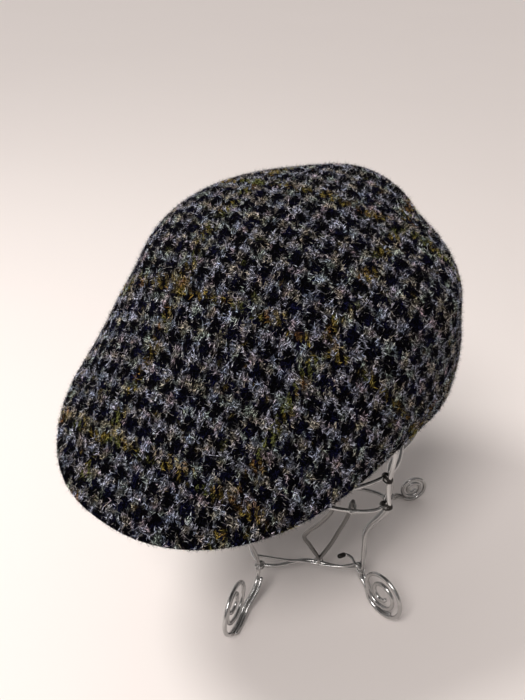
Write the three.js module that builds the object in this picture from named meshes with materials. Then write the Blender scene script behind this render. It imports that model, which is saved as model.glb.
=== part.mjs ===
import * as THREE from "three";

// A flat cap with a long peak, resting on a bent wire stand with five scroll feet.
// Millimetres, +Z up, the peak points to -Y, the wearer's left is +X.

// Cap sizes
const CLOTH = 2.2;
const GAP = 0.3;
const TEMPLE = { lift: 8.5, y: -25, length: 55 };
const NAPE = { drop: 4, y: 100, length: 65 };
const SEAM_START = 118;
const SEAM_TOP = 0.7;
const SEAM_GAP = 0.0045;
const SEAM_GAP_TURN = 1.2;
const TURNS = 54;
const TOP_ROWS = 12;
const BACK_ROWS = 8;

// Cap placement on the stand
const CAP_AT = new THREE.Vector3(0, 0, 163.5);
const TILT = THREE.MathUtils.degToRad(8.2);
const ROLL = THREE.MathUtils.degToRad(5.7);

// Level sections of the cap from the rim up to the top of the crown
const LEVELS = [
  { z: 0, front: -157, back: 108, half: 105, widest: 15, nose: 2.3, tail: 2.1 },
  { z: 23, front: -120, back: 113, half: 105, widest: 18, nose: 2.3, tail: 2.1 },
  { z: 45.5, front: -86, back: 112, half: 101, widest: 20, nose: 2.2, tail: 2.1 },
  { z: 67.5, front: -59, back: 106, half: 96, widest: 24, nose: 2.15, tail: 2.1 },
  { z: 85.5, front: -31, back: 98, half: 77, widest: 28, nose: 2.1, tail: 2.05 },
  { z: 97.5, front: -4, back: 92, half: 40, widest: 32, nose: 2.05, tail: 2.0 },
  { z: 102.5, front: 38, back: 38, half: 0, widest: 38, nose: 2.0, tail: 2.0 },
];

// Soft puffs and dents of the cloth: where they are, how far they reach, and how far they go out and up
const PUFFS = [
  { k: 0.03, turn: -50, rows: 0.06, round: 12, out: 3.2, up: 0 },
  { k: 0.17, turn: -57, rows: 0.07, round: 12, out: -1.2, up: 0 },
  { k: 0, turn: 17, rows: 0.12, round: 22, out: 0, up: 1.4 },
  { k: 0, turn: 91, rows: 0.12, round: 13, out: 0, up: -2 },
  { k: 0.67, turn: 144, rows: 0.05, round: 10, out: -1.5, up: 0 },
  { k: 0.76, turn: 149, rows: 0.05, round: 10, out: 1, up: 0 },
  { k: 0.765, turn: -137, rows: 0.06, round: 14, out: -1.3, up: 0 },
];

// Peak under the front of the cap
const PEAK = { span: 74, front: -92, half: 90, widest: 15, nose: 2.2, thick: 2.6, rise: 9 };
const PEAK_COLUMNS = 23;
const PEAK_ROWS = 5;

// Stand sizes
const WIRE = 2.8;
const WIRE_SIDES = 6;
const STAND_X = 13.6;
const STAND_Y = 13.8;

// Legs, bent by hand and each a little different: the turn round the stand, the foot's distance and its
// turn from the leg, the scroll's size, twist and sideways spread, and how far the wire stands out at the
// knee, above the knee and below it
const LEGS = [
  { turn: -84, foot: 93, lean: 1.9, size: 1, twist: 8.5, spread: -3, knee: -1, above: 5.5, below: 0 },
  { turn: -15, foot: 86, lean: -0.4, size: 0.93, twist: 2, spread: 0, knee: 4.5, above: 0.5, below: 0.8 },
  { turn: 54, foot: 100.6, lean: 9.7, size: 0.58, twist: -11, spread: 0, knee: 10, above: 6, below: 14 },
  { turn: 130, foot: 90.5, lean: 0, size: 1, twist: 0, spread: 0, knee: 0, above: 0, below: 0 },
  { turn: 203, foot: 90.5, lean: 0, size: 1, twist: 0, spread: 0, knee: 0, above: 0, below: 0 },
];

// Scroll of a foot: its size while it winds inwards
const SCROLL = [
  { turn: -132, size: 18.4 },
  { turn: -60, size: 18.2 },
  { turn: 60, size: 17.2 },
  { turn: 150, size: 16.2 },
  { turn: 215, size: 14 },
  { turn: 280, size: 11.6 },
  { turn: 370, size: 10.3 },
  { turn: 480, size: 8.9 },
  { turn: 590, size: 6.4 },
  { turn: 680, size: 4.4 },
];
const SCROLL_POINTS = 40;

// Bends of a leg above its scroll: distance from the middle, height, and shares of the leg's own offsets
const LEG_BENDS = [
  { r: 69.5, z: 12.8, below: 1, lean: 0.75 },
  { r: 62.9, z: 18.2, below: 1, lean: 0.35 },
  { r: 61, z: 26, knee: 1 },
  { r: 61.3, z: 34, knee: 0.9, above: 0.2 },
  { r: 62.5, z: 45, knee: 0.5, above: 0.6 },
  { r: 65, z: 57, above: 1 },
  { r: 69.8, z: 69.4, above: 0.6 },
  { r: 77.8, z: 82.6 },
  { r: 83, z: 95.4 },
  { r: 82, z: 101 },
  { r: 80.6, z: 110 },
  { r: 81.5, z: 120 },
  { r: 83.4, z: 133 },
  { r: 83, z: 146 },
  { r: 82, z: 168 },
  { r: 75, z: 200 },
  { r: 61, z: 226 },
  { r: 40, z: 244 },
  { r: 18, z: 252 },
  { r: 7, z: 253 },
];
const LEG_STEPS = 42;

// Rings inside the legs: height, distance at the legs, share of the knees that it follows, its turn from
// the legs, its lift at the second leg, and how far each side bows inwards
const RINGS = [
  { name: "lower_ring", z: 25, r: 57.4, knees: 1, lag: 0, lift: 0, bows: [14.8, 16.5, 22, 12.5, 12.5] },
  { name: "upper_ring", z: 95.5, r: 81, knees: 0, lag: -4.8, lift: 0, bows: [17.4, 19.4, 17.4, 17.4, 17.4] },
  { name: "top_ring", z: 110.5, r: 77.4, knees: 0, lag: 2, lift: 6, bows: [2.6, 10.4, 7.6, 7.6, 7.6] },
];
const RING_POINTS = 60;
const RING_START = 3.5;
const RING_CUT = 0.0055;

// The brace between the first two legs: turn from the middle of that side, distance, height
const BRACE_BENDS = [
  { turn: 20.9, r: 69.4, z: 97.5 },
  { turn: 19.9, r: 68, z: 87.6 },
  { turn: 19.2, r: 65.5, z: 79 },
  { turn: 17.7, r: 60, z: 64 },
  { turn: 15.1, r: 54, z: 47 },
  { turn: 10.8, r: 49, z: 32.8 },
  { turn: 9.2, r: 47.6, z: 28.9 },
  { turn: 7.5, r: 48.6, z: 32.8 },
  { turn: 0.3, r: 52.5, z: 48 },
  { turn: -4, r: 56, z: 60 },
  { turn: 6.3, r: 60, z: 76 },
  { turn: 11.6, r: 62, z: 86.5 },
  { turn: 12.4, r: 62.8, z: 97.5 },
];
const BRACE_STEPS = 26;

const tweed = new THREE.MeshStandardMaterial({ color: 0x4a4a50, roughness: 0.95, metalness: 0 });
const wire = new THREE.MeshStandardMaterial({ color: 0xc9c7c2, roughness: 0.25, metalness: 1 });

// Level sections run on through the top to the other side, so that the crown is round there
function levelRow(j) {
  const last = LEVELS.length - 1;
  if (j < 0) {
    const row = {};
    for (const name of Object.keys(LEVELS[0])) {
      row[name] = 2 * LEVELS[0][name] - LEVELS[1][name];
    }
    return row;
  }
  if (j > last) {
    const r = LEVELS[last - 1];
    return { ...r, front: r.back, back: r.front, half: -r.half };
  }
  return LEVELS[j];
}

function levelAt(k) {
  const last = LEVELS.length - 1;
  const t = THREE.MathUtils.clamp(k, 0, 1) * last;
  const i = Math.min(Math.floor(t), last - 1);
  const f = t - i;
  const rows = [levelRow(i - 1), levelRow(i), levelRow(i + 1), levelRow(i + 2)];
  const out = {};
  for (const name of Object.keys(LEVELS[0])) {
    const [a, b, c, d] = rows.map((row) => row[name]);
    const bend = (2 * a - 5 * b + 4 * c - d) * f * f + (3 * b - a - 3 * c + d) * f * f * f;
    out[name] = b + 0.5 * ((c - a) * f + bend);
  }
  return out;
}

// Outside of the cap at height share k and turn in degrees, 0 at the front, 90 at the wearer's left
function outside(k, turn) {
  const level = levelAt(k);
  const c = Math.cos(THREE.MathUtils.degToRad(turn));
  const s = Math.sin(THREE.MathUtils.degToRad(turn));
  const power = 2 / (c > 0 ? level.nose : level.tail);
  const x = level.half * Math.sign(s) * Math.abs(s) ** power;
  const reach = c > 0 ? level.front - level.widest : level.back - level.widest;
  const y = level.widest + reach * Math.abs(c) ** power;
  const side = Math.min(1, (x / LEVELS[0].half) ** 2);
  const lift = TEMPLE.lift * side * Math.exp(-(((y - TEMPLE.y) / TEMPLE.length) ** 2));
  const drop = NAPE.drop * Math.exp(-(((y - NAPE.y) / NAPE.length) ** 2));
  const p = new THREE.Vector3(x, y, level.z + (lift - drop) * (1 - k));
  const away = new THREE.Vector3(x, y - level.widest, 0).normalize();
  for (const puff of PUFFS) {
    const off = THREE.MathUtils.euclideanModulo(turn - puff.turn + 180, 360) - 180;
    const share = Math.exp(-(((k - puff.k) / puff.rows) ** 2) - (off / puff.round) ** 2);
    p.addScaledVector(away, puff.out * share);
    p.z += puff.up * share;
  }
  return p;
}

function outwards(k, turn) {
  if (k > 0.995) {
    return new THREE.Vector3(0, 0, 1);
  }
  const k0 = Math.max(0, k - 0.01);
  const k1 = Math.min(0.999, k + 0.01);
  const up = outside(k1, turn).sub(outside(k0, turn));
  const round = outside(k, turn + 1.5).sub(outside(k, turn - 1.5));
  return round.cross(up).normalize();
}

function inside(k, turn, depth = CLOTH) {
  return outside(k, turn).addScaledVector(outwards(k, turn), -depth);
}

// Height share of the seam between the top panel and the back panel
function seamAt(turn) {
  const away = Math.abs(((turn + 180) % 360) - 180);
  const share = Math.max(0, (away - SEAM_START) / (180 - SEAM_START));
  return SEAM_TOP * Math.sin((Math.PI / 2) * Math.sqrt(share));
}

// A closed body from a list of triangles of points, equal points joined
function bodyFrom(triangles) {
  const index = new Map();
  const flat = [];
  const faces = [];
  const at = (p) => {
    const key = [p.x, p.y, p.z].map((v) => Math.round(v * 2000)).join(",");
    if (!index.has(key)) {
      index.set(key, flat.length / 3);
      flat.push(p.x, p.y, p.z);
    }
    return index.get(key);
  };
  for (const corners of triangles) {
    const [a, b, c] = corners.map(at);
    if (a !== b && b !== c && c !== a) {
      faces.push(a, b, c);
    }
  }
  const geometry = new THREE.BufferGeometry();
  geometry.setAttribute("position", new THREE.Float32BufferAttribute(flat, 3));
  geometry.setIndex(faces);
  geometry.computeVertexNormals();
  return geometry;
}

function quad(list, a, b, c, d) {
  list.push([a, b, c], [a, c, d]);
}

// Cloth between an outer and an inner grid of points, rows upwards, columns round to the left
function clothBody(outer, inner, closedRound) {
  const list = [];
  const rows = outer.length;
  const columns = outer[0].length;
  const steps = closedRound ? columns : columns - 1;
  for (let i = 0; i < rows - 1; i += 1) {
    for (let j = 0; j < steps; j += 1) {
      const n = (j + 1) % columns;
      quad(list, outer[i][j], outer[i][n], outer[i + 1][n], outer[i + 1][j]);
      quad(list, inner[i][n], inner[i][j], inner[i + 1][j], inner[i + 1][n]);
    }
  }
  for (let j = 0; j < steps; j += 1) {
    const n = (j + 1) % columns;
    quad(list, inner[0][j], inner[0][n], outer[0][n], outer[0][j]);
    quad(list, outer[rows - 1][j], outer[rows - 1][n], inner[rows - 1][n], inner[rows - 1][j]);
  }
  if (!closedRound) {
    for (let i = 0; i < rows - 1; i += 1) {
      quad(list, inner[i][0], outer[i][0], outer[i + 1][0], inner[i + 1][0]);
      const e = columns - 1;
      quad(list, outer[i][e], inner[i][e], inner[i + 1][e], outer[i + 1][e]);
    }
  }
  return bodyFrom(list);
}

function topPanel() {
  const outer = [];
  const inner = [];
  for (let i = 0; i <= TOP_ROWS; i += 1) {
    const outerRow = [];
    const innerRow = [];
    for (let j = 0; j < TURNS; j += 1) {
      const turn = (360 * j) / TURNS;
      const seam = seamAt(turn);
      const start = seam > 0 ? seam + SEAM_GAP : 0;
      const k = start + (1 - start) * (i / TOP_ROWS);
      outerRow.push(outside(k, turn));
      innerRow.push(inside(k, turn));
    }
    outer.push(outerRow);
    inner.push(innerRow);
  }
  return clothBody(outer, inner, true);
}

function backPanel() {
  const turns = [];
  for (let j = 0; j < TURNS; j += 1) {
    const turn = (360 * j) / TURNS;
    if (seamAt(turn) > 0) {
      turns.push(turn);
    }
  }
  const first = turns[0] - 360 / TURNS + SEAM_GAP_TURN;
  const last = 360 - first;
  const columns = [first, ...turns, last];
  const outer = [];
  const inner = [];
  for (let i = 0; i <= BACK_ROWS; i += 1) {
    const reach = (turn, j) => (j === 0 || j === columns.length - 1 ? 0 : seamAt(turn) - SEAM_GAP);
    outer.push(columns.map((turn, j) => outside((reach(turn, j) * i) / BACK_ROWS, turn)));
    inner.push(columns.map((turn, j) => inside((reach(turn, j) * i) / BACK_ROWS, turn)));
  }
  return clothBody(outer, inner, false);
}

// The peak: a thin curved plate from the front edge back to the head opening
function peakBody() {
  const upper = [];
  const lower = [];
  for (let i = 0; i <= PEAK_ROWS; i += 1) {
    const t = i / PEAK_ROWS;
    const upperRow = [];
    const lowerRow = [];
    for (let j = 0; j < PEAK_COLUMNS; j += 1) {
      const turn = PEAK.span * ((2 * j) / (PEAK_COLUMNS - 1) - 1);
      const edge = inside(0.014, turn, CLOTH + GAP + 0.5);
      const c = Math.cos(THREE.MathUtils.degToRad(turn));
      const s = Math.sin(THREE.MathUtils.degToRad(turn));
      const x = PEAK.half * Math.sign(s) * Math.abs(s) ** (2 / PEAK.nose);
      const y = PEAK.widest + (PEAK.front - PEAK.widest) * Math.abs(c) ** (2 / PEAK.nose);
      const taper = 1 - (turn / PEAK.span) ** 2;
      const back = new THREE.Vector3(x, y, edge.z + PEAK.rise * taper);
      const p = edge.clone().lerp(back, t);
      upperRow.push(p);
      lowerRow.push(p.clone().add(new THREE.Vector3(0, 0, -PEAK.thick)));
    }
    upper.push(upperRow);
    lower.push(lowerRow);
  }
  return clothBody(upper, lower, false);
}

// A wire through given points, one section at each
class WirePath extends THREE.CatmullRomCurve3 {
  getUtoTmapping(u) {
    return u;
  }
}

function wireBody(points) {
  const section = new THREE.Shape();
  for (let i = 0; i < WIRE_SIDES; i += 1) {
    const a = (2 * Math.PI * i) / WIRE_SIDES;
    const p = new THREE.Vector2((WIRE / 2) * Math.cos(a), (WIRE / 2) * Math.sin(a));
    if (i === 0) {
      section.moveTo(p.x, p.y);
    } else {
      section.lineTo(p.x, p.y);
    }
  }
  section.closePath();
  const extrudePath = new WirePath(points);
  return new THREE.ExtrudeGeometry(section, { steps: points.length - 1, extrudePath, curveSegments: 1 });
}

// A point of the stand: distance from its middle, turn in degrees, height
function standPoint(r, turn, z) {
  const a = THREE.MathUtils.degToRad(turn);
  return new THREE.Vector3(STAND_X + r * Math.cos(a), STAND_Y + r * Math.sin(a), z);
}

function scrollSize(turn) {
  const i = Math.min(SCROLL.findLastIndex((row) => row.turn <= turn), SCROLL.length - 2);
  const [a, b] = [SCROLL[i], SCROLL[i + 1]];
  return THREE.MathUtils.mapLinear(turn, a.turn, b.turn, a.size, b.size);
}

// The scroll of a foot, from its inner end to the start of the leg
function scrollPoints(leg) {
  const facing = THREE.MathUtils.degToRad(leg.turn + leg.lean + leg.twist);
  const out = new THREE.Vector3(Math.cos(facing), Math.sin(facing), 0);
  const aside = new THREE.Vector3(-Math.sin(facing), Math.cos(facing), 0);
  const winding = [];
  for (let i = SCROLL_POINTS; i >= 0; i -= 1) {
    const share = i / SCROLL_POINTS;
    const turn = THREE.MathUtils.lerp(SCROLL[0].turn, SCROLL[SCROLL.length - 1].turn, share);
    const size = leg.size * scrollSize(turn);
    const a = THREE.MathUtils.degToRad(turn);
    winding.push({ across: size * Math.cos(a), up: size * Math.sin(a), side: leg.spread * share });
  }
  const lowest = Math.min(...winding.map((p) => p.up));
  const foot = standPoint(leg.foot, leg.turn + leg.lean, WIRE / 2 - lowest);
  return winding.map((p) => {
    const at = foot.clone().addScaledVector(out, p.across).addScaledVector(aside, p.side);
    return at.setZ(at.z + p.up);
  });
}

function legBody(leg) {
  const points = scrollPoints(leg);
  const bends = LEG_BENDS.map((row) => {
    const knee = leg.knee * (row.knee ?? 0);
    const above = leg.above * (row.above ?? 0);
    const below = leg.below * (row.below ?? 0);
    return standPoint(row.r + knee + above + below, leg.turn + leg.lean * (row.lean ?? 0), row.z);
  });
  const rest = new THREE.CatmullRomCurve3([points[points.length - 1], ...bends]).getSpacedPoints(LEG_STEPS);
  return wireBody([...points, ...rest.slice(1)]);
}

function legAfter(i) {
  return i + 1 < LEGS.length ? LEGS[i + 1] : { ...LEGS[0], turn: LEGS[0].turn + 360 };
}

function ringBody(ring) {
  const points = [];
  for (let i = 0; i <= RING_POINTS; i += 1) {
    const along = RING_START + RING_CUT + (LEGS.length - 2 * RING_CUT) * (i / RING_POINTS);
    const side = Math.floor(along) % LEGS.length;
    const share = along - Math.floor(along);
    const [a, b] = [LEGS[side], legAfter(side)];
    const corner = ring.r + ring.knees * THREE.MathUtils.lerp(a.knee, b.knee, share);
    const bow = ring.bows[side] * Math.sin(Math.PI * share) ** 1.5;
    const turn = THREE.MathUtils.lerp(a.turn, b.turn, share) + ring.lag;
    const lift = ring.lift * Math.max(0, 1 - Math.abs(side + share - 1));
    points.push(standPoint(corner - bow, turn, ring.z + lift));
  }
  return wireBody(points);
}

function braceBody() {
  const side = (LEGS[0].turn + LEGS[1].turn) / 2;
  const bends = BRACE_BENDS.map((row) => standPoint(row.r, side + row.turn, row.z));
  return wireBody(new THREE.CatmullRomCurve3(bends).getSpacedPoints(BRACE_STEPS));
}

// Assembly
const group = new THREE.Group();
const add = (name, geometry, material) => {
  const mesh = new THREE.Mesh(geometry, material);
  mesh.name = name;
  group.add(mesh);
  return mesh;
};
const place = new THREE.Matrix4().makeRotationX(TILT);
place.multiply(new THREE.Matrix4().makeRotationY(ROLL));
place.setPosition(CAP_AT);

add("top_panel", topPanel().applyMatrix4(place), tweed);
add("back_panel", backPanel().applyMatrix4(place), tweed);
add("peak", peakBody().applyMatrix4(place), tweed);
for (const ring of RINGS) {
  add(ring.name, ringBody(ring), wire);
}
LEGS.forEach((leg, i) => {
  add(`leg_${i + 1}`, legBody(leg), wire);
});
add("brace", braceBody(), wire);

// The origin is on the ground, under the middle of the whole
const box = new THREE.Box3().setFromObject(group);
const middle = box.getCenter(new THREE.Vector3()).setZ(box.min.z);
for (const mesh of group.children) {
  mesh.geometry.translate(-middle.x, -middle.y, -middle.z);
}

export default group;
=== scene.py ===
import math

import bmesh
import bpy
import numpy as np
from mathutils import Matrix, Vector


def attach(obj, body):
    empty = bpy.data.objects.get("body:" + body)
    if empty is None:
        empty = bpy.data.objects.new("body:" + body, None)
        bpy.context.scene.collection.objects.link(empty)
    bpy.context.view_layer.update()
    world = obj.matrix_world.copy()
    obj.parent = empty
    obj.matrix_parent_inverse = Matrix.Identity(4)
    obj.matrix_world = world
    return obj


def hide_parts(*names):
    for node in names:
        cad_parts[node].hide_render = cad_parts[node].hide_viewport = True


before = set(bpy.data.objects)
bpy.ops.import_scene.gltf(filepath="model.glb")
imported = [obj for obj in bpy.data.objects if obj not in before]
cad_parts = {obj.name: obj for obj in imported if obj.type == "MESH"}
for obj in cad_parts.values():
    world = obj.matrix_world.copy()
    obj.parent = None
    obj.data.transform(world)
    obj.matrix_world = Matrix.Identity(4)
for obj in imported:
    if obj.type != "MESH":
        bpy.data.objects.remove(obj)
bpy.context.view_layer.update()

MM = 0.001

# Cap form in millimetres: the peak points to -Y, the wearer's left is +X
CLOTH, THINNEST = 2.2, 0.8
TEMPLE_LIFT, TEMPLE_Y, TEMPLE_LENGTH = 8.5, -25, 55
NAPE_DROP, NAPE_Y, NAPE_LENGTH = 4, 100, 65

# Seam between the top and the back: turn at its ends, height share, gap, and the groove along it
SEAM_START, SEAM_TOP, SEAM_GAP = 118, 0.7, 0.0003
BACK_START, BACK_MIDDLE = 0.02, 0.3
GROOVE, GROOVE_REACH, GROOVE_POINTS = 1.1, 3.0, 300

# How the cap sits on its stand, and the way from the drawing to the part's own origin
TILT, ROLL = math.radians(8.2), math.radians(5.7)
CAP_AT = np.array([0, 0, 163.5])
TO_ORIGIN = np.array([-4.794, 21.088, -0.001])

# Level sections from the rim to the top: z, front, back, half, widest, nose, tail
LEVELS = np.array([
    [0, -157, 108, 105, 15, 2.3, 2.1],
    [23, -120, 113, 105, 18, 2.3, 2.1],
    [45.5, -86, 112, 101, 20, 2.2, 2.1],
    [67.5, -59, 106, 96, 24, 2.15, 2.1],
    [85.5, -31, 98, 77, 28, 2.1, 2.05],
    [97.5, -4, 92, 40, 32, 2.05, 2.0],
    [102.5, 38, 38, 0, 38, 2.0, 2.0],
])

# Soft puffs and dents: height share, turn, their reaches, and how far out and up
PUFFS = [
    (0.03, -50, 0.06, 12, 3.2, 0),
    (0.17, -57, 0.07, 12, -1.2, 0),
    (0, 17, 0.12, 22, 0, 1.4),
    (0, 91, 0.12, 13, 0, -2),
    (0.67, 144, 0.05, 10, -1.5, 0),
    (0.76, 149, 0.05, 10, 1, 0),
    (0.765, -137, 0.06, 14, -1.3, 0),
]

# Steps by which the surface's directions are read, and the height shares where they end and it is level
STEP_UP, STEP_ROUND = 0.01, 1.5
HIGHEST, LEVEL_TOP = 0.999, 0.995

# Hem turned in at the rim, over the length from rim to top, and the turns over which it begins
RIM_TO_TOP = 165
HEM, HEM_REACH, HEM_FULL = 1.8, 16, 1.6
HEM_START, HEM_FADE, BACK_HEM_FADE = 82, 8, 12

# Peak under the front
PEAK_SPAN, PEAK_FRONT, PEAK_HALF, PEAK_WIDEST, PEAK_NOSE = 74, -92, 90, 15, 2.2
PEAK_THICK, PEAK_RISE, PEAK_INSET, PEAK_LEVEL, PEAK_BLUNT = 2.6, 9, 3.0, 0.014, 0.5

# Mesh fineness
FRONT_COLUMNS, BACK_COLUMNS, TOP_ROWS, BACK_ROWS, EDGE_STEPS = 157, 121, 80, 40, 5
PEAK_COLUMNS, PEAK_ROWS = 121, 25
WELD = 0.00001

# Cloth: yarns in a check and in a twill step, their widths, and how the check lies on the cap
CHECK_YARNS, TWILL_YARNS = 8, 4
WARP_YARN, WEFT_YARN = 11.3 / CHECK_YARNS, 13.0 / CHECK_YARNS
CHECK_TURN = math.radians(11.7)
FLAT_ROUNDS, LEAST_WEIGHT = 60, 0.01

# Stand in millimetres
WIRE = 2.8
STAND_X, STAND_Y = 13.6, 13.8

# Legs: turn, foot, lean of the foot, scroll size, twist, spread, and offsets at, above and below the knee
LEGS = [
    (-84, 93, 1.9, 1, 8.5, -3, -1, 5.5, 0),
    (-15, 86, -0.4, 0.93, 2, 0, 4.5, 0.5, 0.8),
    (54, 100.6, 9.7, 0.58, -11, 0, 10, 6, 14),
    (130, 90.5, 0, 1, 0, 0, 0, 0, 0),
    (203, 90.5, 0, 1, 0, 0, 0, 0, 0),
]
SCROLL_TURNS = [-132, -60, 60, 150, 215, 280, 370, 480, 590, 680]
SCROLL_SIZES = [18.4, 18.2, 17.2, 16.2, 14, 11.6, 10.3, 8.9, 6.4, 4.4]
SCROLL_POINTS = 60

# Bends of a leg: distance, height, and shares of the offsets at, above and below the knee and of the lean
KNEE_BENDS = [
    (69.5, 12.8, 0, 0, 1, 0.75),
    (62.9, 18.2, 0, 0, 1, 0.35),
    (61, 26, 1, 0, 0, 0),
    (61.3, 34, 0.9, 0.2, 0, 0),
    (62.5, 45, 0.5, 0.6, 0, 0),
    (65, 57, 0, 1, 0, 0),
    (69.8, 69.4, 0, 0.6, 0, 0),
]
# Bends of the upright and of the rib inside the cap: distance, height
UPRIGHT_BENDS = [
    (77.8, 82.6), (83, 95.4), (82, 101), (80.6, 110), (81.5, 120), (83.4, 133), (83, 146),
    (82, 168), (75, 200), (61, 226), (40, 244), (18, 252), (7, 253),
]

# Rings: height, distance, share of the knees, turn from the legs, lift at the second leg, bow of each side
RINGS = {
    "lower_ring": (25, 57.4, 1, 0, 0, (14.8, 16.5, 22, 12.5, 12.5)),
    "upper_ring": (95.5, 81, 0, -4.8, 0, (17.4, 19.4, 17.4, 17.4, 17.4)),
    "top_ring": (110.5, 77.4, 0, 2, 6, (2.6, 10.4, 7.6, 7.6, 7.6)),
}
RING_POINTS, RING_START, RING_CUT, BOW_POWER = 60, 3.5, 0.0055, 1.5

# Bends of the brace: turn from the middle of the front side, distance, height
BRACE_BENDS = [
    (20.9, 69.4, 97.5), (19.9, 68, 87.6), (19.2, 65.5, 79), (17.7, 60, 64), (15.1, 54, 47), (10.8, 49, 32.8),
    (9.2, 47.6, 28.9), (7.5, 48.6, 32.8), (0.3, 52.5, 48), (-4, 56, 60), (6.3, 60, 76), (11.6, 62, 86.5),
    (12.4, 62.8, 97.5),
]

# Points between two bends of each wire, sides of a wire, and angles of the rings in its domed ends
SCROLL_STEPS, BEND_STEPS, RING_STEPS, BRACE_STEPS, HOOK_STEPS, STRAND_STEPS = 3, 7, 3, 9, 8, 4
WIRE_SIDES, HOOK_SIDES, LASH_SIDES = 14, 12, 6
DOME_ANGLES = (0.5, 1.0, 1.4)

# Thin wire that binds the crossings: loops, their size, and the heights between which wires cross
LASH, LOOP_POINTS, LOOP_HALF, LOOP_GROWTH = 0.9, 20, 0.8, 0.3
RING_LOOPS, KNEE_LOOPS, BRACE_LOOPS = 2, 3, 2
RING_REACH, KNEE_HEIGHTS = 8, (15, 35)
BRACE_HEIGHTS = {"lower_ring": (26, 36), "upper_ring": (90, 99)}

# Hook beside the second knee: distance, turn, height
HOOK = [(66, -17.5, 27.5), (63, -18.5, 29), (56, -17, 29.5), (52, -18.5, 29.5), (51, -23.6, 29.5)]
HOOK_WIRE, TIP_POINTS, TIP_WIRE = 2.0, 6, 3.4

# A second wire beside each foot, and one along the front of the lower ring, by places on their lines
SPLINT_SPAN, SPLINT_WIRE = (166, 195), 2.6
STRAND_SPAN, STRAND_STEP, STRAND_SWING, STRAND_START = (64, 91), 4, 80, (58.8, -85.6, 34.5)
SIDE_GAP = 0.1

# Tweed dyes
DARK = (0.0022, 0.0018, 0.0046, 1)
NAVY = (0.0042, 0.0046, 0.021, 1)
LIGHT = (0.455, 0.465, 0.575, 1)
PINKISH = (0.475, 0.325, 0.34, 1)
GREENISH = (0.33, 0.41, 0.315, 1)
BLUISH = (0.32, 0.38, 0.54, 1)
SANDY = (0.42, 0.35, 0.22, 1)
RUST = (0.23, 0.112, 0.042, 1)
MUSTARD = (0.285, 0.21, 0.045, 1)
OLIVE = (0.165, 0.175, 0.05, 1)
STRAY_WOOL = (0.16, 0.15, 0.145, 1)

# Pale yarns of a check: their middle and half their width, in yarns
PALE_MIDDLE, PALE_HALF = 6.0, 1.70

# Coloured yarns: how often they come, from which yarn on, how many, and how strong they and the flecks are
OVER_WARPS, OVER_WEFTS = 64, 56
OVER_WARP_AT, OVER_WEFT_AT = 32, 1
OVER_YARNS, OVER_MOST, FLECK_MOST = 6, 0.78, 0.6

# Ways in which the yarns wander: scale, reach in yarns, and offset
WANDER = ((90, 2.0, 0.0), (330, 1.4, 0.37), (900, 1.0, 0.74))
WARP_WANDER, WEFT_WANDER, WANDER_DEPTH, WANDER_ROUGH = 0.3, 0.6, 0.2, 0.6

# A float's form: how suddenly and how far it sinks at its ends
FLOAT_ENDS, FLOAT_SINK = 4.0, 0.8

# Clouds that mix the dyes: offset and scale
CLOUDS = {
    "tint": ((0.11, 0.57, 0.0), 120),
    "other": ((0.52, 0.13, 0.0), 150),
    "cast": ((0.7, 0.2, 0.0), 85),
    "hue": ((0.4, 0.9, 0.0), 75),
    "patch": ((0.8, 0.15, 0.0), 95),
    "fleck": ((0.3, 0.65, 0.0), 120),
}
# Where each dye or patch begins in its cloud and where it is full
SHOWS = {
    "tint": (0.5, 0.64),
    "navy": (0.48, 0.62),
    "cast": (0.3, 0.7),
    "rust": (0.52, 0.62),
    "olive": (0.50, 0.60),
    "patch": (0.42, 0.56),
    "fleck": (0.66, 0.76),
}
TINT_MOST, CAST_DEPTH = 0.75, 0.5

# Wool fibres in the yarns: scale, stretch, how they slant, where they begin and are full, and their light;
# then the painted shade in the gaps between yarns and the painted light of each float
FIBRE_SCALE, FIBRE_STRETCH, FIBRE_ROUGH = 1500, 0.3, 0.6
WARP_SLANT, WEFT_SLANT, WEFT_OFFSET = 0.6, -0.9, (0.2, 0.4, 0.0)
FIBRE_SHOWS, STREAK, STREAK_LEAST = (0.40, 0.64), 0.95, 0.06
GAP_SHADE, GAP_SHADE_LEAST, FLOAT_LEAST = 0.9, 0.1, 0.25
FIBRE_RELIEF, CLOTH_BUMP, CLOTH_BUMP_DEPTH = 0.8, 0.8, 0.0006
CLOTH_ROUGH, CLOTH_SHINE = 0.95, 0.03

# Light of the cloth and of its nap, and the share of stray fibres in the nap
BASE_LIGHT, NAP_LEAST, NAP_RANGE, NAP_POWER = 0.42, 0.026, 4.2, 3.1
STRAY_SHARE, STRAY_DRAWS = 0.07, 17.0
NAP_ROUGH, NAP_SHINE = 0.8, 0.04

# Wire tones: the plain wire, and two copies of the same wire darkened as painted shade, one for the brace
# under the cap and one for the knots; each has two tones and the least roughness
WIRE_TONES = {
    "bright_wire": ((0.54, 0.535, 0.53, 1), (0.40, 0.395, 0.39, 1), 0.13),
    "shaded_wire": ((0.20, 0.195, 0.19, 1), (0.13, 0.127, 0.123, 1), 0.25),
    "deep_shade_wire": ((0.060, 0.055, 0.052, 1), (0.035, 0.032, 0.030, 1), 0.3),
}
WIRE_CLOUD, WIRE_CLOUD_DETAIL, WIRE_CLOUD_ROUGH = 60, 3.0, 0.6
WIRE_GRAIN, GRAIN_ROUGH, GRAIN_BUMP, GRAIN_DEPTH = 700, 0.2, 0.15, 0.0002

# Nap: strands of wool that lie on the cloth, and fine hairs that stand off it, in metres
NAP_SIZES = {
    "Strand Density": 1.5e6,
    "Strand Length": 0.0022,
    "Strand Width": 0.00029,
    "Hair Density": 0.62e6,
    "Hair Length": 0.0029,
    "Hair Width": 0.00014,
}
STRAND_LEAN, HAIR_LEAN = (1.0, 1.42), (0.1, 1.25)
STRAND_SPREAD, HAIR_SPREAD = 0.44, 1.4
WARP_SHARE, LENGTH_RANGE = 0.6, (0.4, 1.25)
HAIR_SEED, PATCH_SEEDS = 50, 100

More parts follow.
